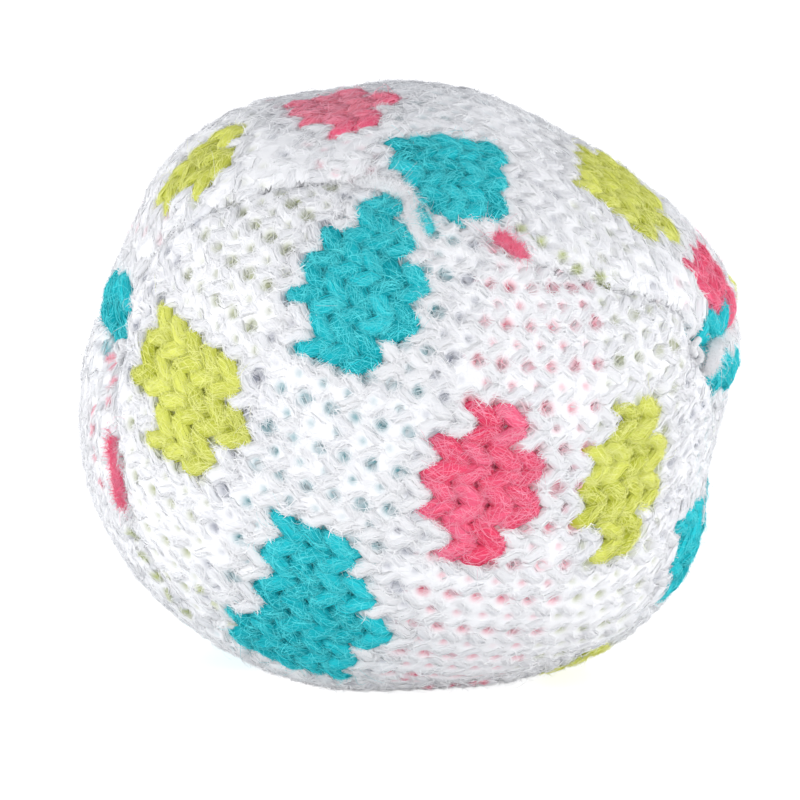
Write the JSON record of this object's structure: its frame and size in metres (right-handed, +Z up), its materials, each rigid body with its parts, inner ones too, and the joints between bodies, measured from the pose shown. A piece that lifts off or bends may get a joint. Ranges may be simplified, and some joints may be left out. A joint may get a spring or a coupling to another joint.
{
  "type": "footbag",
  "caption": "Palm-sized soft ball of knitted jersey with knitted-in polka dots, sewn from lens-shaped panels and filled with pellets, for kicking and catching.",
  "frame": {"origin": "middle of the small flat that the ball rests on, at the height of the ground", "axes": "+Z up, -Y towards the front panel, +X to the right as the front panel is seen, so the two gathers lie at the left and the right"},
  "size_m": [0.0543, 0.0529, 0.049],
  "materials": {
    "white_yarn": "fuzzy matt acrylic knit",
    "teal_yarn": "fuzzy matt acrylic knit",
    "pink_yarn": "fuzzy matt acrylic knit",
    "lime_yarn": "fuzzy matt acrylic knit",
    "liner_cloth": "plain thin cloth",
    "pellet_plastic": "dull moulded pellets"
  },
  "bodies": {
    "root": {"back_seam_thread": "white_yarn", "base_dot_10_pink": "pink_yarn", "base_dot_1_pink": "pink_yarn", "base_dot_2_lime": "lime_yarn", "base_dot_3_teal": "teal_yarn", "base_dot_4_teal": "teal_yarn", "base_dot_5_lime": "lime_yarn", "base_dot_6_pink": "pink_yarn", "base_dot_7_teal": "teal_yarn", "base_dot_8_lime": "lime_yarn", "base_dot_9_teal": "teal_yarn", "base_panel": "white_yarn", "base_seam_thread": "white_yarn", "crown_dot_10_teal": "teal_yarn", "crown_dot_11_teal": "teal_yarn", "crown_dot_12_pink": "pink_yarn", "crown_dot_13_pink": "pink_yarn", "crown_dot_14_lime": "lime_yarn", "crown_dot_1_lime": "lime_yarn", "crown_dot_2_pink": "pink_yarn", "crown_dot_3_teal": "teal_yarn", "crown_dot_4_lime": "lime_yarn", "crown_dot_5_pink": "pink_yarn", "crown_dot_6_teal": "teal_yarn", "crown_dot_7_teal": "teal_yarn", "crown_dot_8_pink": "pink_yarn", "crown_dot_9_lime": "lime_yarn", "crown_panel": "white_yarn", "crown_seam_thread": "white_yarn", "front_dot_1_teal": "teal_yarn", "front_dot_2_lime": "lime_yarn", "front_dot_3_pink": "pink_yarn", "front_dot_4_lime": "lime_yarn", "front_dot_5_teal": "teal_yarn", "front_dot_6_teal": "teal_yarn", "front_panel": "white_yarn", "left_closing_knot": "white_yarn", "liner_sack": "liner_cloth", "pellet_fill": "pellet_plastic", "right_closing_knot": "white_yarn"}
  },
  "joints": []
}
